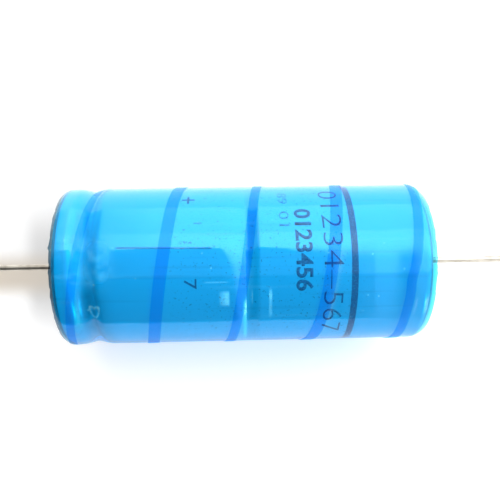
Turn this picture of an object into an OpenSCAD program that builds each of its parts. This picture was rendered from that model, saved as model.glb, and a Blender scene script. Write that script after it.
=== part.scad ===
// Axial-lead aluminium electrolytic capacitor, wrapped in see-through film.
// Millimetres. The axis lies along X with the open, positive end at -X, and Z is up.
// Each piece is drawn standing on the open rim, with its height along the can, and then laid down.

/* [Can] */
// Outer diameter of the drawn can
can_d = 20.8; // [16:0.1:26]
// Length of the can over its rim and its closed end
can_len = 46.6; // [42:0.1:60]
// Thickness of the can's drawn wall
can_wall = 0.45; // [0.3:0.05:0.6]
// Thickness of the closed end
floor_t = 0.7; // [0.5:0.05:1.2]
// Outer rounding of the closed end
end_round = 1.1; // [0.7:0.05:1.8]
// Outer rounding of the rolled rim
rim_round = 0.9; // [0.7:0.05:1.2]
// How far the rim is turned in over the seal, from the can's outside
rim_reach = 1.7; // [1.4:0.05:2.4]

/* [Groove] */
// Distance from the rim to the middle of the rolled groove
groove_at = 3.9; // [3.6:0.1:7]
// Depth of the groove
groove_depth = 0.9; // [0.6:0.05:1.1]
// Radius of the groove's bottom
groove_round = 1.4; // [1.2:0.05:1.7]
// Radius where the groove runs out into the wall
groove_edge = 1.4; // [1:0.05:1.6]

/* [Seal] */
// Thickness of the laminate board
board_t = 1; // [0.6:0.1:1.3]
// Play of the seal in the can, on the radius
seal_play = 0.03; // [0.01:0.01:0.1]
// How far the rubber's face stays below the rim's edge
face_drop = 0.1; // [0.05:0.05:0.3]
// Gap between the rubber's raised face and the rim's lip
face_gap = 0.1; // [0.05:0.05:0.3]

/* [Rivet] */
// Diameter of the rivet's shank
shank_d = 2.4; // [1.6:0.1:3.2]
// Diameter of the flange inside
flange_d = 5; // [4:0.1:6]
// Thickness of the flange inside
flange_t = 0.8; // [0.4:0.1:1.2]
// Outer diameter of the washer
washer_d = 6; // [4.8:0.1:8]
// Thickness of the washer
washer_t = 0.5; // [0.3:0.05:0.8]
// Diameter of the swaged collar
collar_d = 3.8; // [3.4:0.1:4.6]
// Height of the swaged collar
collar_t = 0.4; // [0.3:0.05:0.8]
// Diameter of the stub that the lead is welded to
stub_d = 1.6; // [1.2:0.1:2]
// Length of the stub beyond the collar
stub_len = 0.4; // [0.3:0.1:1]

/* [Leads] */
// Diameter of both lead wires
lead_d = 0.8; // [0.6:0.05:1]
// Distance from each end of the can to the tip of its lead
lead_reach = 38; // [20:1:45]
// Chamfer at the sheared tip
tip_chamfer = 0.1; // [0.05:0.05:0.2]
// Diameter of the weld bulge on the anode lead
bulge_d = 1.3; // [1.1:0.05:1.6]
// Diameter of the weld button on the cathode lead
button_d = 2.4; // [1.8:0.1:4]
// Thickness of the weld button at its middle
button_t = 0.5; // [0.3:0.05:0.8]

/* [Winding] */
// Play between the taped winding and the can, on the radius
winding_play = 0.25; // [0.1:0.05:0.5]
// Diameter of the hole that the mandrel leaves
mandrel_d = 3; // [2:0.1:4]
// How far the paper stands out past the foil at each end
paper_edge = 0.8; // [0.3:0.1:1.2]
// Distance from one paper edge to the next that is drawn
paper_step = 1.1; // [0.9:0.1:2]
// Thickness of the tape that closes the winding
closing_t = 0.08; // [0.05:0.01:0.15]
// Width of the tape that closes the winding
closing_w = 20; // [10:1:28]
// Thickness of the insulating discs
pad_t = 0.4; // [0.2:0.05:0.6]
// Gap between the groove's inner bead and the front disc
pad_gap = 0.1; // [0.05:0.05:0.4]

/* [Tabs] */
// Width of both tabs
tab_w = 4; // [3.2:0.1:5]
// Thickness of both tabs
tab_t = 0.2; // [0.1:0.05:0.3]
// Distance from the axis at which the tabs leave the winding
tab_at = 5; // [4.2:0.1:6]
// Depth to which the tabs reach into the winding
tab_grip = 9; // [4:1:14]
// Inside radius of the tabs' bends
tab_bend = 0.5; // [0.3:0.05:0.8]
// Play of the tabs in their slots, on each side
tab_play = 0.03; // [0.01:0.01:0.1]

/* [Film] */
// Thickness of the film tape
film_t = 0.08; // [0.06:0.01:0.12]
// Thickness of the glue between the layers
glue_t = 0.045; // [0.04:0.005:0.08]
// Width of the tape
tape_w = 11.5; // [9:0.1:16]
// How far each turn laps the one before
lap = 1.2; // [0.8:0.1:3]
// Distance from the rim at which a lap starts on the top line
lap_at = 23; // [15:0.1:30]
// Width of the step where a turn comes down off the lap
lap_step = 0.25; // [0.15:0.05:0.4]
// How far the film stands out past the closed end
film_lip = 0.4; // [0.1:0.05:0.8]
// How deep the film dips over the groove
dip_depth = 0.35; // [0.1:0.05:0.4]
// How far the film is drawn in over the rim's rounding
tuck_depth = 0.3; // [0.1:0.05:0.35]
// How far the film is drawn in past the closed end's rounding
shrink_depth = 0.6; // [0.2:0.05:0.7]

/* [Marking] */
// Distance from the rim to the middle of the printed ring
ring_at = 36.8; // [30:0.1:40]
// Width of the printed ring
ring_w = 0.8; // [0.5:0.05:2]
// Thickness of the ink
ink_t = 0.02; // [0.01:0.005:0.03]

/* [Hidden] */
$fn = 96;

can_r = can_d / 2;
bore_r = can_r - can_wall;
floor_z = can_len - floor_t;

// Groove: its bottom arc is centred outside the wall, and an edge arc runs out of it on each side
groove_out = groove_round - groove_depth;
groove_half = sqrt(pow(groove_round + groove_edge, 2) - pow(groove_out + groove_edge, 2));
bead_round = groove_round + can_wall;
bead_half = sqrt(pow(bead_round, 2) - pow(can_wall + groove_out, 2));

// Seal: it fills the room between the rim's lip and the shoulder of the bead
lip_r = can_r - rim_reach;
seal_r = bore_r - seal_play;
seal_end = groove_at - sqrt(pow(bead_round, 2) - pow(can_r + groove_out - seal_r, 2));
board_z = seal_end - board_t;
face_r = lip_r - face_gap;

// Rivet: flange, tab, board, rubber, washer and collar, from inside out
flange_z = seal_end + tab_t;
washer_z = face_drop - washer_t;
collar_z = washer_z - collar_t;
stub_z = collar_z - stub_len;

// Winding: it lies between the two discs, and the rear disc lies on the cathode tab
front_z = groove_at + bead_half + pad_gap;
winding_z = front_z + pad_t;
rear_z = floor_z - tab_t - pad_t;
winding_len = rear_z - winding_z;
winding_r = bore_r - winding_play - closing_t;
pad_r = bore_r - winding_play;
papers = floor((winding_r - mandrel_d / 2) / paper_step - 1 / 2);

// Film: sections of the strip, one for each step round the can
film_len = can_len + film_lip;
shrink_z = can_len - end_round;
tape_pitch = tape_w - lap;
sections_a_turn = 48;
section_step = tape_pitch / sections_a_turn;
sections = ceil((film_len + tape_w) / section_step);
flats_to_corners = 1 / cos(180 / sections_a_turn);
same_point = 1e-6;
bends = concat(
    [for (part = [0, 0.4, 1]) part * rim_round],
    [for (part = [-1, -0.6, -0.3, 0, 0.3, 0.6, 1]) groove_at + part * groove_half],
    [for (part = [0, 0.4, 0.7]) shrink_z + part * (film_len - shrink_z)]
);

// Lays a piece down, from standing on the rim to lying along X with the can's middle at the origin
module lay_down() {
    rotate([0, 90, 0])
        translate([0, 0, -can_len / 2])
            children();
}

// Revolves a profile whose x is the radius and whose y is the height above the rim
module turned() {
    rotate_extrude() children();
}

// Rectangle from one corner to the opposite one
module slab(low, high) {
    translate(low) square(high - low);
}

// Keeps the half of a profile that lies outside the axis
module outside_axis() {
    intersection() {
        children();
        slab([0, -can_len], [can_d, 2 * can_len]);
    }
}

// Space that the groove takes from the wall, with both of its edges rounded
module groove_space() {
    translate([can_r + groove_out, groove_at]) circle(groove_round);
    difference() {
        polygon([
            [can_r + groove_out, groove_at - groove_half],
            [can_r - groove_edge, groove_at - groove_half],
            [can_r + groove_out, groove_at],
            [can_r - groove_edge, groove_at + groove_half],
            [can_r + groove_out, groove_at + groove_half]
        ]);
        for (side = [-1, 1])
            translate([can_r - groove_edge, groove_at + side * groove_half])
                circle(groove_edge);
    }
}

// Outline of a solid of the can's outer form, with each corner rounded
module can_outline(radius, low, high, low_round, high_round) {
    straight_low = low + low_round;
    straight_high = high - high_round;
    slab([0, straight_low], [radius, straight_high]);
    slab([0, low], [radius - low_round, straight_low]);
    slab([0, straight_high], [radius - high_round, high]);
    translate([radius - low_round, straight_low]) circle(low_round);
    translate([radius - high_round, straight_high]) circle(high_round);
}

// Drawn can: the rolled groove pushes a bead into it, and the rim is turned in over the seal
module can() {
    color([0.86, 0.87, 0.88])
        lay_down() turned() outside_axis() difference() {
            can_outline(can_r, 0, can_len, rim_round, end_round);
            difference() {
                can_outline(bore_r, can_wall, floor_z, rim_round - can_wall, end_round - can_wall);
                translate([can_r + groove_out, groove_at]) circle(bead_round);
            }
            groove_space();
            slab([0, -can_wall], [lip_r, 2 * can_wall]);
        }
}

// Rubber face: its edge is squeezed into the rim's rounding, and its middle stands up inside the lip
module seal_rubber() {
    corner = rim_round - can_wall + seal_play;
    color([0.13, 0.13, 0.14])
        lay_down() turned() {
            slab([shank_d / 2, can_wall], [seal_r - corner, board_z]);
            slab([seal_r - corner, can_wall + corner], [seal_r, board_z]);
            intersection() {
                translate([seal_r - corner, can_wall + corner]) circle(corner);
                slab([seal_r - corner, can_wall], [seal_r, can_wall + corner]);
            }
            slab([shank_d / 2, face_drop], [face_r, board_z]);
        }
}

// Laminate board that carries the rubber and rests on the bead
module seal_board() {
    color([0.42, 0.24, 0.12])
        lay_down() turned() slab([shank_d / 2, board_z], [seal_r, seal_end]);
}

// Washer under the swaged collar
module rivet_washer() {
    color([0.78, 0.79, 0.8])
        lay_down() turned() slab([shank_d / 2, washer_z], [washer_d / 2, face_drop]);
}

// Rivet: flange inside, shank through the seal, swaged collar and welding stub outside
module anode_rivet() {
    collar_slope = collar_t / 2;
    color([0.8, 0.81, 0.82])
        lay_down() turned() polygon([
            [0, flange_z + flange_t],
            [flange_d / 2, flange_z + flange_t],
            [flange_d / 2, flange_z],
            [shank_d / 2, flange_z],
            [shank_d / 2, washer_z],
            [collar_d / 2, washer_z],
            [collar_d / 2, washer_z - collar_slope],
            [collar_d / 2 - collar_slope, collar_z],
            [stub_d / 2, collar_z],
            [stub_d / 2, stub_z],
            [0, stub_z]
        ]);
}

// Side view of a tab: one leg along the winding, a bend, and one leg towards the axis
module tab_side(near_x, bend_z, leg_z) {
    turn = sign(leg_z - bend_z);
    outer = tab_bend + tab_t;
    centre = [tab_at + tab_t / 2 - outer, bend_z + turn * outer];
    slab([near_x, min(bend_z, bend_z + turn * tab_t)], [centre.x, max(bend_z, bend_z + turn * tab_t)]);
    slab([tab_at - tab_t / 2, min(centre.y, leg_z)], [tab_at + tab_t / 2, max(centre.y, leg_z)]);
    intersection() {
        translate(centre) difference() {
            circle(outer);
            circle(tab_bend);
        }
        slab([centre.x, min(bend_z, centre.y)], [tab_at + tab_t / 2, max(bend_z, centre.y)]);
    }
}

// Room for a tab, which a bend needs wider towards the axis
module tab_room(low, high, bend = 0) {
    room = [tab_t + 2 * tab_play + bend, tab_w + 2 * tab_play, high - low];
    translate([tab_at - bend / 2, 0, (low + high) / 2]) cube(room, center = true);
}
module rear_tab_room() {
    mirror([1, 0, 0]) {
        tab_room(rear_z - tab_grip - tab_play, floor_z);
        tab_room(floor_z - tab_bend - tab_t - tab_play, floor_z, tab_bend);
    }
}

// Anode tab: held under the rivet's flange and folded into the winding
module anode_tab() {
    color([0.75, 0.76, 0.77])
        lay_down() difference() {
            rotate([90, 0, 0])
                linear_extrude(tab_w, center = true)
                    tab_side(-flange_d / 2, seal_end, winding_z + tab_grip);
            translate([0, 0, seal_end - tab_t]) cylinder(3 * tab_t, d = shank_d);
        }
}

// Cathode tab: leaves the winding on the other side and lies flat on the can's floor
module cathode_tab() {
    color([0.75, 0.76, 0.77])
        lay_down() mirror([1, 0, 0])
            rotate([90, 0, 0])
                linear_extrude(tab_w, center = true)
                    tab_side(-flange_d / 2, floor_z, rear_z - tab_grip);
}

// Wire between two heights, with the chamfer that each end has
module wire(low, high, low_cut, high_cut) {
    wire_r = lead_d / 2;
    polygon([
        [0, low],
        [wire_r - low_cut, low],
        [wire_r, low + low_cut],
        [wire_r, high - high_cut],
        [wire_r - high_cut, high],
        [0, high]
    ]);
}

// Anode lead: butt-welded to the stub, with a bulge at the weld
module anode_lead() {
    bulge_z = stub_z - bulge_d / 4;
    color([0.72, 0.71, 0.68])
        lay_down() turned() {
            wire(-lead_reach, bulge_z, tip_chamfer, 0);
            intersection() {
                translate([0, bulge_z]) circle(bulge_d / 2);
                slab([0, stub_z - bulge_d], [bulge_d, stub_z]);
            }
        }
}

// Cathode lead: its end is upset into a round button that is welded to the closed end
module cathode_lead() {
    button_r = (pow(button_d / 2, 2) + pow(button_t, 2)) / (2 * button_t);
    color([0.72, 0.71, 0.68])
        lay_down() turned() {
            wire(can_len, can_len + lead_reach, 0, tip_chamfer);
            intersection() {
                translate([0, can_len + button_t - button_r]) circle(button_r);
                slab([0, can_len], [button_d, can_len + button_t]);
            }
        }
}

// Insulating disc
module pad(low) {
    translate([0, 0, low]) cylinder(pad_t, r = pad_r);
}

// Front disc, slotted for the anode tab
module front_pad() {
    color([0.85, 0.78, 0.62])
        lay_down() difference() {
            pad(front_z);
            tab_room(seal_end, winding_z + pad_t);
        }
}

// Rear disc, slotted for the cathode tab and its bend
module rear_pad() {
    color([0.85, 0.78, 0.62])
        lay_down() difference() {
            pad(rear_z);
            rear_tab_room();
        }
}

// Winding: the turns of foil end short of the turns of paper, whose edges stand out as rings
module winding() {
    paper_w = paper_step / 2;
    foil_low = winding_z + paper_edge;
    foil_high = rear_z - paper_edge;
    color([0.62, 0.58, 0.5])
        lay_down() difference() {
            turned() {
                slab([mandrel_d / 2, foil_low], [winding_r, foil_high]);
                for (turn = [0 : papers]) {
                    paper_r = winding_r - turn * paper_step;
                    slab([paper_r - paper_w, winding_z], [paper_r, rear_z]);
                }
            }
            tab_room(seal_end, winding_z + tab_grip + tab_play);
            rear_tab_room();
        }
}

// Tape that closes the winding
module winding_tape() {
    middle = winding_z + winding_len / 2;
    color([0.87, 0.8, 0.45])
        lay_down() turned()
            slab([winding_r, middle - closing_w / 2], [winding_r + closing_t, middle + closing_w / 2]);
}

// Ring of ink printed round the can
module marking_ring() {
    color([0.02, 0.16, 0.36])
        lay_down() turned()
            slab([can_r, ring_at - ring_w / 2], [can_r + ink_t, ring_at + ring_w / 2]);
}

// Inner radius of the film's first layer at a height: it dips over the groove and is drawn in at both ends
function dip(z) =
    let (part = abs(z - groove_at) / groove_half)
    part < 1 ? dip_depth * pow(cos(90 * part), 2) : 0;
function tuck(z) = z < rim_round ? tuck_depth * pow(1 - z / rim_round, 2) : 0;
function shrink(z) = z > shrink_z ? shrink_depth * pow((z - shrink_z) / (film_len - shrink_z), 2) : 0;
function laid_r(z) = flats_to_corners * (can_r + glue_t - dip(z) - tuck(z) - shrink(z));

function between(low, value, high) = max(low, min(value, high));

// How far a turn is lifted by the edge of the turn before, from 1 on the lap to 0 beside it
function lifted(z, start) = between(0, (start + lap + lap_step - z) / lap_step, 1);

// Heights in one section of the strip, from its lapping edge to its other edge
function heights(start) = [
    for (part = [[start, start + lap], [start + lap + lap_step, start + tape_w]])
        for (z = concat(part[0], bends, part[1]))
            between(0, between(part[0], z, part[1]), film_len)
];

// A section: the strip's inside up to its far edge, and then its outside back again
function layer(start, side) = [
    for (z = heights(start))
        [laid_r(z) + lifted(z, start) * (film_t + glue_t) + side * film_t, z]
];
function backwards(list) = [for (i = [len(list) - 1 : -1 : 0]) list[i]];
function section(start) = concat(layer(start, 0), backwards(layer(start, 1)));

// Angle of a section: the strip climbs as it turns backwards, and crosses the top line at lap_at
function section_angle(start) = 180 - 360 * (start - lap_at) / tape_pitch;
function section_start(i) = min(i * section_step, film_len + tape_w) - tape_w;
function apart(a, b) = norm(a - b) > same_point;
function has_area(points, face) =
    let (a = points[face[0]], b = points[face[1]], c = points[face[2]])
    apart(a, b) && apart(b, c) && apart(c, a);
function around(point, angle) = [point.x * cos(angle), point.x * sin(angle), point.y];

// Film: one strip of tape, wound so that each turn climbs onto the edge of the turn before
module film_sleeve() {
    corners = len(section(0));
    points = [
        for (i = [0 : sections])
            let (start = section_start(i))
            for (point = section(start)) around(point, section_angle(start))
    ];
    faces = [
        for (i = [0 : sections - 1])
            for (j = [0 : corners - 1])
                let (
                    here = i * corners,
                    there = here + corners,
                    next = (j + 1) % corners
                )
                for (face = [[here + j, here + next, there + j], [here + next, there + next, there + j]])
                    if (has_area(points, face)) face
    ];
    color([0.1, 0.6, 0.95, 0.45])
        lay_down() polyhedron(points, faces);
}

can();
seal_rubber();
seal_board();
rivet_washer();
anode_rivet();
anode_tab();
anode_lead();
front_pad();
winding();
winding_tape();
rear_pad();
cathode_tab();
cathode_lead();
marking_ring();
film_sleeve();
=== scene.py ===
import math

import bmesh
import bpy
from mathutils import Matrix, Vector


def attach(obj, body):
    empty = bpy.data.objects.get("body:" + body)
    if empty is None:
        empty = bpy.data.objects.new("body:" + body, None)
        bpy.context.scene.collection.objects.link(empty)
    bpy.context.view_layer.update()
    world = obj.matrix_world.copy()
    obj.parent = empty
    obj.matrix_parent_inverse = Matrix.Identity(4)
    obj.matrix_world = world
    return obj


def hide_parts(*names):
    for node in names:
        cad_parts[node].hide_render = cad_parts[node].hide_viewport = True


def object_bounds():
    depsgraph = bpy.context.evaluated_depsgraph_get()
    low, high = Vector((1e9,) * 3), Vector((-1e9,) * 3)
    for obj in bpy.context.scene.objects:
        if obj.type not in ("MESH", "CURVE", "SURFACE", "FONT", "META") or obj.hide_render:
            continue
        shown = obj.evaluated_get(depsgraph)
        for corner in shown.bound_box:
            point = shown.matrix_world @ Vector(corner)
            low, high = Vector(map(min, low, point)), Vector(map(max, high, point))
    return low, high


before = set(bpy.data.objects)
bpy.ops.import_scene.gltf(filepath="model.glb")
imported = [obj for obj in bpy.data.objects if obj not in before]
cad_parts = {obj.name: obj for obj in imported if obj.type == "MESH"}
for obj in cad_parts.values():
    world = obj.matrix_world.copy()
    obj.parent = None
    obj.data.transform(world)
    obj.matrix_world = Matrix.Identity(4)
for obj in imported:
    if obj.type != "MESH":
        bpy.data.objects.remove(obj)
cad_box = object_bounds()
bpy.ops.object.select_all(action="DESELECT")
for name in ("Cube", "Light", "Camera"):
    if name in bpy.data.objects:
        bpy.data.objects.remove(bpy.data.objects[name])

# The camera looks almost straight down on the capacitor from close by.
# Its place and turn come from the body's outline, the film's laps and the printed ring in the photograph.
photo_width = 500
focal_length = 570.95
sensor_width = 36

camera_data = bpy.data.cameras.new("camera")
camera_data.sensor_width = sensor_width
camera_data.lens = sensor_width * focal_length / photo_width
camera_data.clip_start = 0.001
camera = bpy.data.objects.new("camera", camera_data)
camera.location = (-0.001045, 0.000299, 0.078919)
camera.rotation_mode = "ZYX"
camera.rotation_euler = (0.0197, -0.0270, -0.0180)
bpy.context.scene.collection.objects.link(camera)
bpy.context.scene.camera = camera


# The can is drawn from aluminium sheet in one piece, so it is bright and has fine marks along its length.
# A groove rolled into it holds the seal, and its rim is turned in over the rubber.
# Places on it are in millimetres along the body, and in degrees round it from the top towards the far side.
class Value:
    """A number or colour that a shader works out at each point, with Python's own arithmetic."""

    def __init__(self, finish, socket):
        self.finish = finish
        self.socket = socket

    def maths(self, operation, *values):
        """A Math node on these values."""
        return self.finish.node("ShaderNodeMath", {"operation": operation}, dict(enumerate(values)))

    def __add__(self, other):
        return self.maths("ADD", self, other)

    def __sub__(self, other):
        return self.maths("SUBTRACT", self, other)

    def __rsub__(self, other):
        return self.maths("SUBTRACT", other, self)

    def __mul__(self, other):
        return self.maths("MULTIPLY", self, other)

    def __truediv__(self, other):
        return self.maths("DIVIDE", self, other)

    def __pow__(self, other):
        return self.maths("POWER", self, other)

    def __abs__(self):
        return self.maths("ABSOLUTE", self)

    def __lt__(self, other):
        return self.maths("LESS_THAN", self, other)

    __radd__ = __add__
    __rmul__ = __mul__

    def degrees_from(self, other):
        """The angle whose tangent is this value over the other, in degrees."""
        return self.maths("ARCTAN2", self, other) * (180 / math.pi)

    def output(self, name):
        """Another output of the same node."""
        return Value(self.finish, self.socket.node.outputs[name])

    def ramp(self, low, high, smooth=True):
        """0 up to low and 1 from high on, or the other way round where low is above high."""
        return self.finish.node(
            "ShaderNodeMapRange",
            {"interpolation_type": "SMOOTHSTEP" if smooth else "LINEAR"},
            {"Value": self, "From Min": low, "From Max": high},
        )


class Finish:
    """The nodes of a material, or of the world, while they are laid out."""

    def __init__(self, name, owner=None):
        self.owner = owner or bpy.data.materials.new(name)
        self.owner.use_nodes = True
        self.tree = self.owner.node_tree
        self.tree.nodes.clear()

    def node(self, kind, settings=None, inputs=None, output=0):
        """One node with its settings, and a value or a link for each socket."""
        made = self.tree.nodes.new(kind)
        for name, value in (settings or {}).items():
            setattr(made, name, value)
        for name, value in (inputs or {}).items():
            if isinstance(value, Value):
                self.tree.links.new(value.socket, made.inputs[name])
            elif isinstance(value, tuple) and len(value) == 3 and made.inputs[name].type == "RGBA":
                made.inputs[name].default_value = (*value, 1)
            else:
                made.inputs[name].default_value = value
        return Value(self, made.outputs[output])

    def place(self, stretch=(1, 1, 1)):
        """Object coordinates in millimetres, times a factor for each axis."""
        here = self.node("ShaderNodeTexCoord", output="Object")
        scale = tuple(1000 * part for part in stretch)
        return self.node("ShaderNodeMapping", {}, {"Vector": here, "Scale": scale})

    def noise(self, scale, detail=3, stretch=(1, 1, 1)):
        """Noise with that many lumps a millimetre, and longer along an axis that has a small factor."""
        inputs = {"Vector": self.place(stretch), "Scale": scale, "Detail": detail}
        return self.node("ShaderNodeTexNoise", {}, inputs)

    def blend(self, factor, first, second):
        """A colour between two. The node takes them at sockets 6 and 7 and gives the mix as output 2."""
        return self.node(
            "ShaderNodeMix", {"data_type": "RGBA"}, {"Factor": factor, 6: first, 7: second}, output=2
        )

    def bump(self, height, depth, strength=1.0, normal=None):
        """Relief of that depth in millimetres where the height goes from 0 to 1."""
        inputs = {"Height": height, "Distance": depth / 1000, "Strength": strength}
        if normal is not None:
            inputs["Normal"] = normal
        return self.node("ShaderNodeBump", {}, inputs)

    def surface(self, **inputs):
        """The usual shader, with its sockets by name and spaces as underscores."""
        named = {name.replace("_", " "): value for name, value in inputs.items()}
        return self.node("ShaderNodeBsdfPrincipled", {}, named)

    def finished(self, shader, kind="ShaderNodeOutputMaterial"):
        """The material or world, once its shader is joined to its output."""
        end = self.tree.nodes.new(kind)
        self.tree.links.new(shader.socket, end.inputs["Surface"])
        return self.owner


def finish_node(name, material):
    """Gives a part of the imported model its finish."""
    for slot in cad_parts[name].material_slots:
        slot.material = material


def round_body(finish):
    """Place along the body in millimetres, and the angle round it in degrees from the top."""
    along = finish.node("ShaderNodeSeparateXYZ", {}, {"Vector": finish.place()})
    return along, along.output("Y").degrees_from(along.output("Z"))


def patch(value, low, high, soft):
    """1 between two limits and 0 outside them, with soft edges."""
    return value.ramp(low - soft, low + soft) * value.ramp(high + soft, high - soft)


dent_from = -3.2
dent_from_near = -1.7
dent_middle = 0.3
dent_flat = 0.05
dent_to = 2.2
dent_depth = 0.5
end_dent_from = 15.8
end_dent_middle = 18.3
end_dent_to = 21.8
end_dent_share = 0.22
wave_depth = 0.05


def dented(along, turned):
    """How far the wall is pushed in, by its middle and by the closed end, as a share of the deepest."""
    start = turned.ramp(4, -24) * (dent_from_near - dent_from) + dent_from
    slope = (along - start) / (dent_middle - start)
    across = slope.ramp(0, 1, smooth=False) ** 2 * along.ramp(dent_to, dent_middle + dent_flat)
    middle = across * (turned.ramp(-14, 16) * 0.4 + 0.6) * patch(turned, -85, 60, 18)
    by_end = along.ramp(end_dent_from, end_dent_middle) * along.ramp(end_dent_to, end_dent_middle)
    return middle + by_end * patch(turned, -38, 40, 25) * end_dent_share


def wall_relief(finish, along, turned):
    """The wall's dents and soft waves, which the film over it follows."""
    dents = finish.bump(1 - dented(along, turned), dent_depth)
    return finish.bump(finish.noise(0.2, detail=2), wave_depth, normal=dents)


def rubbed_dull(along, turned):
    """The place beside the groove where handling has dulled the metal and the film."""
    return patch(along, -19.3, -16, 1.2) * patch(turned, -12, 18, 8)


covered_from = -22.9
covered_to = 22.7
bare_blend = 0.3
line_turned = 10.5
line_slope = 0.103

drawn = Finish("drawn_aluminium")
along, turned = round_body(drawn)
draw_marks = drawn.noise(6, detail=4, stretch=(0.03, 1, 1))
cloud = drawn.noise(0.35, detail=2)

scored_line = abs(turned + along * line_slope - line_turned).ramp(1.0, 0.4) * patch(along, -15.3, -3.8, 0.3)
specks = drawn.noise(3.4, detail=3).ramp(0.64, 0.68) * patch(along, -9, 15, 2)
long_scratches = drawn.noise(1.5, detail=4, stretch=(0.04, 1, 1)).ramp(0.55, 0.75)
# Painted shade: the groove's lower side is painted darker, as the shade in that hollow.
painted_groove_shade = patch(along, -20.6, -17.0, 1.5) * turned.ramp(-8, -24)
# The covered metal is painted darker towards the seal end.
darker_to_seal_end = along.ramp(-5, -22)
smear = patch(along, -7.8, -6.2, 0.1) * patch(turned, 14, 16, 0.6) * drawn.noise(4).ramp(0.5, 0.55)
# The scored line, specks, scratches and smear are real marks. The groove's painted shade and the darkening
# towards the seal end are added to them.
grime_and_shade = scored_line * 0.6 + specks * 0.5 + long_scratches * 0.12 + smear * 0.7
grime_and_shade = grime_and_shade + painted_groove_shade * 0.27 + darker_to_seal_end * 0.13

off_axis = (along.output("Y") ** 2 + along.output("Z") ** 2) ** 0.5
turning_rings = drawn.node(
    "ShaderNodeTexNoise", {"noise_dimensions": "1D"}, {"W": off_axis, "Scale": 5.0, "Detail": 4.0}
)
bare_ends = along.ramp(covered_to, covered_to + bare_blend)
bare_ends = bare_ends + along.ramp(covered_from, covered_from - bare_blend)
clean_metal = drawn.blend(cloud, (0.92, 0.93, 0.94), (0.965, 0.97, 0.975))
covered_metal = drawn.blend(grime_and_shade, clean_metal, (0.1, 0.14, 0.18))
# The bare metal at both ends is painted dark: partly tarnish, and partly painted shade.
bare_metal = drawn.blend(turning_rings.ramp(0.35, 0.65), (0.36, 0.37, 0.38), (0.54, 0.55, 0.56))
covered_rough = draw_marks * 0.06 + cloud * 0.04 + rubbed_dull(along, turned) * 0.3
drawn_aluminium = drawn.finished(
    drawn.surface(
        Base_Color=drawn.blend(bare_ends, covered_metal, bare_metal),
        Metallic=cloud * 0.06 + bare_ends * 0.64 + 0.14,
        Roughness=covered_rough + bare_ends * (turning_rings * 0.2 + 0.12) + 0.06,
        Normal=drawn.bump(turning_rings * bare_ends, depth=0.02, normal=wall_relief(drawn, along, turned)),
    )
)
finish_node("can", drawn_aluminium)

# The rubber plug is moulded from black rubber and squeezed behind the turned-in rim.
# Its face is matt, with a little grey bloom.
rubber = Finish("black_rubber")
grain = rubber.noise(7, detail=4)
bloom = rubber.noise(1.1, detail=5)
black_rubber = rubber.finished(
    rubber.surface(
        Base_Color=rubber.blend(bloom.ramp(0.4, 0.75), (0.018, 0.018, 0.02), (0.045, 0.045, 0.046)),
        Roughness=bloom * 0.2 + 0.55,
        Normal=rubber.bump(grain, depth=0.02, strength=0.5),
    )
)
finish_node("seal_rubber", black_rubber)

# The board under the rubber is sawn from brown paper laminate, in thin layers.
# It carries the rivet and can't be seen once the can is closed.
laminate = Finish("paper_laminate")
layers = laminate.noise(3, detail=3, stretch=(6, 0.2, 0.2))
paper_laminate = laminate.finished(
    laminate.surface(
        Base_Color=laminate.blend(layers, (0.16, 0.07, 0.03), (0.32, 0.17, 0.08)),
        Roughness=layers * 0.2 + 0.5,
        Normal=laminate.bump(layers, depth=0.02, strength=0.5),
    )
)
finish_node("seal_board", paper_laminate)

# The rivet, its washer and both tabs are soft aluminium, left bare.
# The rivet's head is swaged over the washer, which leaves the metal satin with small dents.
satin = Finish("satin_aluminium")
small_dents = satin.noise(4, detail=3)
brushed = satin.noise(14, detail=2, stretch=(1, 1, 0.15))
satin_aluminium = satin.finished(
    satin.surface(
        Base_Color=satin.blend(small_dents, (0.62, 0.63, 0.64), (0.84, 0.85, 0.86)),
        Metallic=1.0,
        Roughness=brushed * 0.18 + 0.26,
        Normal=satin.bump(small_dents, depth=0.02, strength=0.5),
    )
)
for name in ("rivet_washer", "anode_rivet", "anode_tab", "cathode_tab"):
    finish_node(name, satin_aluminium)

# The winding is anode foil, cathode foil and paper, rolled up together and soaked.
# The edges of its turns show as fine rings of paper and metal on both its ends.
soaked = Finish("foil_and_paper")
foil_turns = soaked.noise(2, detail=2, stretch=(0.3, 4, 4))
soaked_winding = soaked.finished(
    soaked.surface(
        Base_Color=soaked.blend(foil_turns, (0.34, 0.29, 0.22), (0.6, 0.55, 0.46)),
        Roughness=foil_turns * 0.2 + 0.5,
        Normal=soaked.bump(foil_turns, depth=0.02, strength=0.4),
    )
)
finish_node("winding", soaked_winding)

# Discs of pressed brown paper keep the winding's ends off the metal.
# They are punched out of sheet and are held only by the winding.
pressed = Finish("pressed_paper")
fibres = pressed.noise(3, detail=5)
pressed_paper = pressed.finished(
    pressed.surface(
        Base_Color=pressed.blend(fibres, (0.62, 0.5, 0.33), (0.8, 0.7, 0.52)),
        Roughness=fibres * 0.1 + 0.8,
        Normal=pressed.bump(fibres, depth=0.02, strength=0.6),
    )
)
for name in ("front_pad", "rear_pad"):
    finish_node(name, pressed_paper)

# A strip of yellow plastic tape is stuck over the end of the winding's last turn.
# Its glue shows through as paler and darker patches.
closing = Finish("closing_tape")
glue = closing.noise(1.2, detail=3)
closing_tape = closing.finished(
    closing.surface(
        Base_Color=closing.blend(glue, (0.62, 0.5, 0.18), (0.8, 0.7, 0.35)),
        Roughness=glue * 0.15 + 0.2,
        Normal=closing.bump(glue, depth=0.01, strength=0.4),
    )
)
finish_node("winding_tape", closing_tape)

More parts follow.
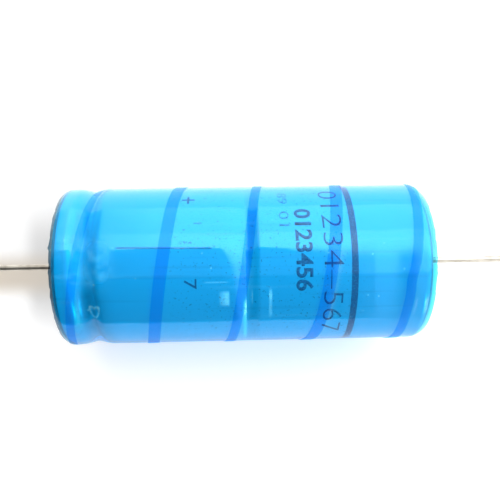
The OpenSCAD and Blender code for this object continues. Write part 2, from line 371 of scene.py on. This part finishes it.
# The leads are tinned wire, drawn and then handled, so the tin is grey and softly streaked.
# One is butt-welded to the rivet, and the other is upset into a button on the closed end.
tinned = Finish("tinned_wire")
streaks = tinned.noise(10, detail=3, stretch=(0.06, 1, 1))
tarnish = tinned.noise(0.5, detail=4)
tinned_wire = tinned.finished(
    tinned.surface(
        Base_Color=tinned.blend(tarnish.ramp(0.35, 0.7), (0.66, 0.62, 0.54), (0.4, 0.36, 0.3)),
        Metallic=1.0,
        Roughness=streaks * 0.15 + 0.24,
        Normal=tinned.bump(streaks, depth=0.01, strength=0.5),
    )
)
for name in ("anode_lead", "cathode_lead"):
    finish_node(name, tinned_wire)

# The ring that marks the negative end is printed on the bare can before the film goes round it.
# Its ink is thin and dull, and paler where it is worn.
printed = Finish("printing_ink")
worn = printed.noise(5, detail=3)
printing_ink = printed.finished(
    printed.surface(
        Base_Color=printed.blend(worn.ramp(0.45, 0.75), (0.03, 0.21, 0.28), (0.13, 0.4, 0.46)),
        Roughness=worn * 0.2 + 0.45,
        Normal=printed.bump(worn, depth=0.004, strength=0.3),
    )
)
finish_node("marking_ring", printing_ink)

# The signs and figures are printed with the ring, in the same ink, and read round the can.
# Two groups and a short dash came out faint, with much of the metal showing through.
faded = Finish("faded_ink")
faint = faded.noise(6)
faded_ink = faded.finished(
    faded.surface(
        Base_Color=faded.blend(faint.ramp(0.4, 0.65), (0.25, 0.33, 0.42), (0.72, 0.75, 0.78)),
        Roughness=faint * 0.2 + 0.3,
    )
)

can_r = 10.4
ink_r = can_r + 0.018
ink_thick = 0.014
bend_step = 2
curve_cuts = 5
letter_weld = 1e-4
no_height = 1e-6


def printed_round(body, weight, foot, top, start, end, ink):
    """Characters that read round the body from one angle to another, between two places along it."""
    bpy.ops.object.text_add(location=(0, 0, 0))
    bpy.context.object.data.body = body
    bpy.context.object.data.offset = weight
    bpy.context.object.data.resolution_u = curve_cuts
    bpy.ops.object.convert(target="MESH")
    piece = bpy.context.object
    low = Vector(min(vert.co[axis] for vert in piece.data.vertices) for axis in range(3))
    high = Vector(max(vert.co[axis] for vert in piece.data.vertices) for axis in range(3))
    bpy.ops.object.mode_set(mode="EDIT")
    bpy.ops.mesh.select_all(action="SELECT")
    bpy.ops.mesh.remove_doubles(threshold=letter_weld)
    cuts = int(abs(end - start) / bend_step)
    for cut in range(1, cuts):
        bpy.ops.mesh.select_all(action="SELECT")
        bpy.ops.mesh.bisect(plane_co=(low.x + (high.x - low.x) * cut / cuts, 0, 0), plane_no=(1, 0, 0))
    bpy.ops.object.mode_set(mode="OBJECT")
    for vert in piece.data.vertices:
        angle = math.radians(start + (end - start) * (vert.co.x - low.x) / (high.x - low.x))
        place = foot + (top - foot) * (vert.co.y - low.y) / max(high.y - low.y, no_height)
        vert.co = Vector((place, ink_r * math.sin(angle), ink_r * math.cos(angle))) / 1000
    wall = piece.modifiers.new("wall", "SOLIDIFY")
    wall.thickness = ink_thick / 1000
    wall.offset = -1
    bpy.ops.object.modifier_apply(modifier="wall")
    piece.data.materials.clear()
    piece.data.materials.append(ink)
    return piece


# Each row gives the characters and their weight, their feet and tops, their first and last angle, and the ink.
printed_signs = [
    printed_round("01234\u2013567", -0.016, 9.75, 12.15, 62, -58, printing_ink),
    printed_round("0123456", 0.022, 6.35, 8.45, 40, -19, printing_ink),
    printed_round("+", 0.0, -7.6, -6.0, 56.5, 47.5, printing_ink),
    printed_round("7", 0.0, -7.2, -5.7, -9.5, -16.5, printing_ink),
    printed_round("l", 0.0, -6.0, -5.0, 29.6, 28.6, faded_ink),
    printed_round("89", -0.01, 4.5, 5.7, 60, 46, faded_ink),
    printed_round("01", -0.01, 4.5, 5.7, 38, 26, faded_ink),
]
bpy.ops.object.select_all(action="DESELECT")
for piece in printed_signs:
    piece.select_set(True)
bpy.context.view_layer.objects.active = printed_signs[0]
bpy.ops.object.join()
print_marks = bpy.context.object
print_marks.name = print_marks.data.name = "print_marks"
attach(print_marks, "root")

# The sleeve is one strip of clear blue polyester tape, wound in a left-handed screw over can and print.
# Each turn laps the one before it, so the blue is doubled in a narrow band and its edge stands up a little.
# It dips over the groove, and heat has drawn its two ends in over the rim and over the closed end.
film_from = -23.3
film_to = 23.7
pitch = 10.3
lap = 1.2
lap_edge = -0.28
lap_rise = 0.06
cut_edge = 0.012
step_down = 0.7
film_thick = 0.08
film_gap = 0.045
laid_r = can_r + film_gap + film_thick
first_turn = 3
wound_turns = 7
wound_steps = 192
level_rows = 17
film_weld = 2e-6
lapped_row = 0.15
level_from = lap + step_down

climb = [(0, 0), (cut_edge, 1), (lapped_row, 1), (lap / 2, 1), (lap, 1)]
climb += [(lap + part * step_down, 0.5 + 0.5 * math.cos(math.pi * part)) for part in (0.25, 0.5, 0.75, 1)]
climb += [(level_from + (pitch - level_from) * (row + 1) / level_rows, 0) for row in range(level_rows)]

bpy.ops.mesh.primitive_grid_add(x_subdivisions=len(climb) - 1, y_subdivisions=1, size=pitch / 1000)
film_wrap = bpy.context.object
film_wrap.name = film_wrap.data.name = "film_wrap"
bpy.ops.object.mode_set(mode="EDIT")
mesh = bmesh.from_edit_mesh(film_wrap.data)
bmesh.ops.delete(mesh, geom=[vert for vert in mesh.verts if vert.co.y > 0], context="VERTS")
first_edge = lap_edge + first_turn * pitch
for vert, (reach, rise) in zip(sorted(mesh.verts, key=lambda v: v.co.x), climb):
    vert.co = Vector((first_edge + reach, 0, laid_r + rise * lap_rise)) / 1000
bmesh.update_edit_mesh(film_wrap.data)
bpy.ops.object.mode_set(mode="OBJECT")
wound = film_wrap.modifiers.new("wound", "SCREW")
wound.axis = "X"
wound.angle = 2 * math.pi
wound.screw_offset = -pitch / 1000
wound.iterations = wound_turns
wound.steps = wound.render_steps = wound_steps
bpy.ops.object.modifier_apply(modifier="wound")
bpy.ops.object.mode_set(mode="EDIT")
bpy.ops.mesh.select_all(action="SELECT")
bpy.ops.mesh.remove_doubles(threshold=film_weld)

# The tape was laid by hand, so its turns leave the even line a little, and most of all by the closed end.
# Each point's own place across the tape and along it is kept first, as a UV map that the finish reads.
far_stray = -0.42
seal_stray = 0.08
near_stray = 0.45
nearest_stray = 0.9
kink_depth = 0.2
kink_angle = -0.22
kink_width = 0.12
ends_from = 15
ends_blend = 3


def off_line(place, angle):
    """How far the tape is off its even line, in millimetres along the body."""
    far_side = max(0, math.sin(angle))
    near_side = max(0, -math.sin(angle))
    by_seal = min(1, max(0, (-ends_from - place) / ends_blend))
    by_closed_end = min(1, max(0, (place - ends_from) / ends_blend))
    kink = kink_depth * math.exp(-(((angle - kink_angle) / kink_width) ** 2))
    even_stray = far_stray * far_side**2 + seal_stray * by_seal
    return even_stray + by_closed_end * (near_stray * near_side**2 + nearest_stray * near_side**4 - kink)


mesh = bmesh.from_edit_mesh(film_wrap.data)
laid = mesh.loops.layers.uv.new("laid")
for face in mesh.faces:
    middle = face.calc_center_median()
    middle_turn = math.atan2(middle.y, middle.z) / (2 * math.pi)
    which = math.floor((middle.x * 1000 - lap_edge) / pitch - middle_turn)
    for loop in face.loops:
        turn = math.atan2(loop.vert.co.y, loop.vert.co.z) / (2 * math.pi)
        turn += round(middle_turn - turn)
        loop[laid].uv = ((loop.vert.co.x * 1000 - lap_edge) / pitch - turn - which, turn)
for vert in mesh.verts:
    vert.co.x += off_line(vert.co.x * 1000, math.atan2(vert.co.y, vert.co.z)) / 1000
bmesh.update_edit_mesh(film_wrap.data)

# The tape is cut off at both ends, and heat draws it into the groove, over the rim and over the closed end.
# Four short tags of it are left on the cut edge at the seal.
groove_middle = film_from + 3.9
groove_reach = 2.06
dip_depth = 0.35
tuck_reach = 0.9
tuck_depth = 0.3
shrink_reach = 1.5
shrink_depth = 0.6
rim_rows = (0.15, 0.35, 0.6, 0.9)
end_rows = (0.12, 0.3, 0.5, 0.75, 1.1, 1.5)
tag_angles = (13, 1, -104, 150)
tag_reach = 1.2
tag_length = 0.14
cut_margin = 0.01
smooth_below = 32

for cut, side in ((film_from, -1), (film_to, 1)):
    bpy.ops.mesh.select_all(action="SELECT")
    bpy.ops.mesh.bisect(plane_co=(cut / 1000, 0, 0), plane_no=(side, 0, 0), clear_outer=True)
for cut in [film_from + row for row in rim_rows] + [film_to - row for row in end_rows]:
    bpy.ops.mesh.select_all(action="SELECT")
    bpy.ops.mesh.bisect(plane_co=(cut / 1000, 0, 0), plane_no=(1, 0, 0))
mesh = bmesh.from_edit_mesh(film_wrap.data)
for vert in mesh.verts:
    place = vert.co.x * 1000
    off_groove = min(1, abs(place - groove_middle) / groove_reach)
    into_tuck = max(0, 1 - (place - film_from) / tuck_reach)
    into_shrink = max(0, 1 - (film_to - place) / shrink_reach)
    drawn_in = dip_depth * math.cos(math.pi / 2 * off_groove) ** 2
    drawn_in += tuck_depth * into_tuck**2 + shrink_depth * into_shrink**2
    radius = math.hypot(vert.co.y, vert.co.z)
    vert.co.yz = vert.co.yz * (1 - drawn_in / 1000 / radius)
    off_tag = min(abs(math.degrees(math.atan2(vert.co.y, vert.co.z)) - angle) for angle in tag_angles)
    if place < film_from + cut_margin and off_tag < tag_reach:
        vert.co.x -= tag_length / 1000
bmesh.update_edit_mesh(film_wrap.data)
bpy.ops.mesh.select_all(action="SELECT")
bpy.ops.mesh.normals_make_consistent(inside=False)
bpy.ops.object.mode_set(mode="OBJECT")
film_wall = film_wrap.modifiers.new("film_wall", "SOLIDIFY")
film_wall.thickness = film_thick / 1000
film_wall.offset = -1
bpy.ops.object.modifier_apply(modifier="film_wall")
bpy.ops.object.shade_smooth_by_angle(angle=math.radians(smooth_below))

# Clear blue film lets light through and reflects a little of it, and two layers are a deeper blue.
# Light from the can passes four faces of the film, so each tint is about the fourth root of what is seen.
# Its cut ends are painted dark, a painted shade for the dim surroundings they mirror, more so on the near side
# of the closed end. It is hazy where it was rubbed, and has a heart-shaped smudge by the groove.
film_ior = 1.42
heart_along = -18.2
heart_half = 0.62
heart_turned = -33.4
heart_height = 4.4
# Each streak has a stretch along the body and an arc round it, with their softness, and its strength. The last
# two are painted highlights along creases.
dust_and_glint_streaks = (
    ((-4.7, -2.0, 0.4), (-12.3, -11.4, 0.4), 0.2),
    ((0.13, 0.3, 0.08), (-60, -24, 7), 0.15),
    ((0.95, 1.05, 0.06), (-27, -19, 3), 0.3),
)

clear = Finish("clear_blue_film")
along, turned = round_body(clear)
past_seal_edge = along - film_from
before_end_edge = film_to - along
laid_map = clear.node("ShaderNodeUVMap", {"uv_map": "laid"})
own_place = clear.node("ShaderNodeSeparateXYZ", {}, {"Vector": laid_map})
narrower = along.ramp(-14.5, -17.5) * 0.5 + along.ramp(14.5, 17.5) * 0.33 + patch(along, -4, 4, 2) * 0.33
doubled = own_place < (lap + step_down / 2 - narrower) / pitch
# Painted highlights: at the crease by the middle and on the groove's flank, the film takes a paler tint for
# glints of the metal beneath.
painted_glint = patch(along, -0.05, 0.3, 0.2) * patch(turned, -66, -27, 7) * 0.7
painted_glint = painted_glint + patch(along, -20.7, -20.1, 0.4) * patch(turned, -47, -26, 8) * 0.5

rubbed = rubbed_dull(along, turned)
speckle = clear.noise(2.5, detail=3)
from_heart = abs((along - heart_along) / heart_half)
heart_ring = from_heart**2 + ((turned - heart_turned) / heart_height - from_heart * 0.8) ** 2
pale_patch = patch(along, -3.0, -1.8, 0.15) * along.ramp(-3.6, -1.6) * patch(turned, -28.5, -18.5, 1.5)
# Painted highlight: a tall pale streak on the near side, brighter at its top.
painted_tall_glint = patch(along, 3.05, 3.4, 0.12) * patch(turned, -38, -18.7, 4)
# The film is made paler at the closed end's cut edge, and faintly paler by the seal rim on the far side.
paler_end_edge = before_end_edge.ramp(0.45, 0.15)
paler_rim_far_side = along.ramp(-20.6, -21.6) * turned.ramp(2, 14)
scuffs = clear.noise(1.3, detail=3, stretch=(0.04, 1, 1)).ramp(0.6, 0.72)
bubbles = clear.node("ShaderNodeTexVoronoi", {}, {"Vector": clear.place(), "Scale": 0.55}).ramp(0.075, 0.05)
# Real rubbing, smudges, bubbles and scuffs, with painted highlights along creases mixed in.
haze_and_glints = rubbed * clear.noise(0.7, detail=4).ramp(0.38, 0.6) * (speckle * 0.1 + 0.09)
haze_and_glints = haze_and_glints + patch(heart_ring, 0.6, 1.2, 0.3) * (speckle * 0.4 + 0.15)
haze_and_glints = haze_and_glints + pale_patch * (speckle * 0.5 + 0.3)
haze_and_glints = haze_and_glints + painted_tall_glint * (turned.ramp(-26, -22) * 0.3 + 0.25)
for lengthwise, crosswise, strength in dust_and_glint_streaks:
    haze_and_glints = haze_and_glints + patch(along, *lengthwise) * patch(turned, *crosswise) * strength
haze_and_glints = haze_and_glints + paler_end_edge * 0.35 + paler_rim_far_side * 0.09 + bubbles * 0.35 + scuffs * 0.05

# Painted shade: the film's cut ends are tinted dark, and the closed end's edge more on its near side.
painted_edge_shade = patch(past_seal_edge, -1, 0.35, 0.04) + patch(past_seal_edge, 0.3, 0.65, 0.05) * 0.3
painted_edge_shade = painted_edge_shade + patch(past_seal_edge, 0.65, 0.72, 0.04) * 0.6
painted_edge_shade = painted_edge_shade + patch(before_end_edge, 0.65, 0.75, 0.04) * turned.ramp(20, -30) * 0.4


def tinted(colour):
    """Film that only lets light through, in a colour."""
    return clear.node("ShaderNodeBsdfTransparent", {}, {"Color": colour})


def mixed(factor, first, second):
    """The first shader where the factor is 0, and the second where it is 1."""
    return clear.node("ShaderNodeMixShader", {}, {0: factor, 1: first, 2: second})


one_layer = tinted((0.2, 0.81, 0.999))
two_layers = tinted((0.06, 0.728, 0.992))
# The paler tint of the painted highlights.
glint_tint = tinted((0.3, 0.96, 1.0))
# The dark tint of the painted shade on the cut ends.
edge_shade_tint = tinted((0.33, 0.45, 0.55))
# One pale shader serves both the real marks and the painted highlights.
dust_and_glint = clear.node("ShaderNodeBsdfDiffuse", {}, {"Color": (0.2, 0.5, 0.42)})
shine = clear.node(
    "ShaderNodeBsdfGlossy",
    {},
    {"Color": (1, 1, 1), "Roughness": rubbed * 0.25 + 0.04, "Normal": wall_relief(clear, along, turned)},
)
gloss = clear.node("ShaderNodeFresnel", {}, {"IOR": film_ior})
front = 1 - clear.node("ShaderNodeNewGeometry", output="Backfacing")
seen_through = mixed(painted_edge_shade, mixed(painted_glint, mixed(doubled, one_layer, two_layers), glint_tint), edge_shade_tint)
dust_and_glint_added = clear.node("ShaderNodeAddShader", {}, {0: seen_through, 1: dust_and_glint})
hazed_and_glinting = mixed(haze_and_glints * front, seen_through, dust_and_glint_added)
film_wrap.data.materials.clear()
film_wrap.data.materials.append(clear.finished(mixed(gloss * front * (1 - doubled * 0.5), hazed_and_glinting, shine)))
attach(film_wrap, "root")
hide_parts("film_sleeve")

# The capacitor lies on a white table, which keeps its soft shadow. Its colour also holds painted light and
# shade:
# a painted pale-blue glow of the film's light next to the near side, a painted grey shadow by the seal end, a
# painted brown shadow under the lead there, and a near half painted darker.
# It gives off a little light, so that it is white to the camera and also lights the capacitor from below. It
# is dim where the near side mirrors it, a painted shade in the reflection.
table_size = 3
seen_level = 0.38
scattered_level = 1.15
mirrored_level = 0.9
mirrored_drop = 0.68

bpy.ops.mesh.primitive_plane_add(size=table_size, location=(0, 0, cad_box[0].z))
table = bpy.context.object
table.name = "table"
white = Finish("white_table")
spot = white.node("ShaderNodeSeparateXYZ", {}, {"Vector": white.place()})
back = spot.output("Y")
near_side = back.ramp(4, -4)
# Painted light and shade: a pale-blue glow of the film's light next to the near side, a grey shadow by the
# seal end and a brown shadow under the lead.
painted_film_glow = abs(back).ramp(17, 10) * patch(spot, -21, 23, 5) * near_side
painted_seal_end_shadow = patch(spot, -33, -24, 1.5) * abs(back).ramp(11, 3)
painted_lead_shadow = patch(spot, -50, -24, 9) * patch(back, -3.9, 1.4, 2)
# Painted shade: the near half of the table is darker.
paper = white.blend(near_side, (0.64, 0.64, 0.64), (0.84, 0.84, 0.84))
paper = white.blend(painted_film_glow, paper, (0.68, 0.82, 0.86))
paper = white.blend(painted_seal_end_shadow, paper, (0.42, 0.42, 0.42))
paper = white.blend(painted_lead_shadow, paper, (0.34, 0.27, 0.18))
ray = white.node("ShaderNodeLightPath")
shown = ray.output("Is Camera Ray") * seen_level + ray.output("Is Diffuse Ray") * scattered_level
# Painted shade in the reflection: the table's near side is dimmer where the capacitor mirrors it.
shown = shown + ray.output("Is Glossy Ray") * (mirrored_level - near_side * mirrored_drop)
matt = white.node("ShaderNodeBsdfDiffuse", {}, {"Color": paper})
lit = white.node("ShaderNodeEmission", {}, {"Color": (1, 1, 1), "Strength": shown})
table.data.materials.append(white.finished(white.node("ShaderNodeAddShader", {}, {0: matt, 1: lit})))

# Soft light comes from all round. A tall bright screen stands on the far side, with a brighter band on it.
# The sky is lighter to the right and dim to the left, and a small bright patch lies low on the near right.
# The tilt of a direction is its angle in degrees from straight up towards the far side.
screen_edge = 23.4
edge_lowered = 12
edge_soft = 0.3
screen_level = 2.55
band_end = 44
band_soft = 3
band_level = 0.85
sky_level = 0.27
right_more = 0.8
far_more = 0.3
far_right_more = 0.6
left_dimmed = 0.8
patch_level = 4

daylight = bpy.data.worlds.new("daylight")
bpy.context.scene.world = daylight
sky = Finish("daylight", daylight)
way = sky.node("ShaderNodeSeparateXYZ", {}, {"Vector": sky.node("ShaderNodeTexCoord", output="Generated")})
tilt = way.output("Y").degrees_from(way.output("Z"))
right = way.ramp(0.16, 0.3)
left = way.ramp(-0.08, -0.4)
lowered = way.ramp(0.03, 0.27) * edge_lowered
screen = ((tilt - screen_edge + lowered) / (lowered + edge_soft)).ramp(-1, 1)
band = tilt.ramp(band_end + band_soft, band_end)
overhead = tilt.ramp(-18, -16) * (right * far_right_more + far_more) + right * right_more + sky_level
level = overhead + screen * (band * band_level + screen_level - overhead)
bright_patch = patch(way, 0.44, 0.66, 0.05) * patch(tilt, -88, -60, 5)
level = level * (1 - left * left_dimmed) + bright_patch * patch_level
level = level + sky.node("ShaderNodeLightPath", output="Is Camera Ray") * (1 - level)
sky.finished(
    sky.node("ShaderNodeBackground", {}, {"Color": (1, 1, 1), "Strength": level}), "ShaderNodeOutputWorld"
)

bpy.context.scene.view_settings.view_transform = "Standard"
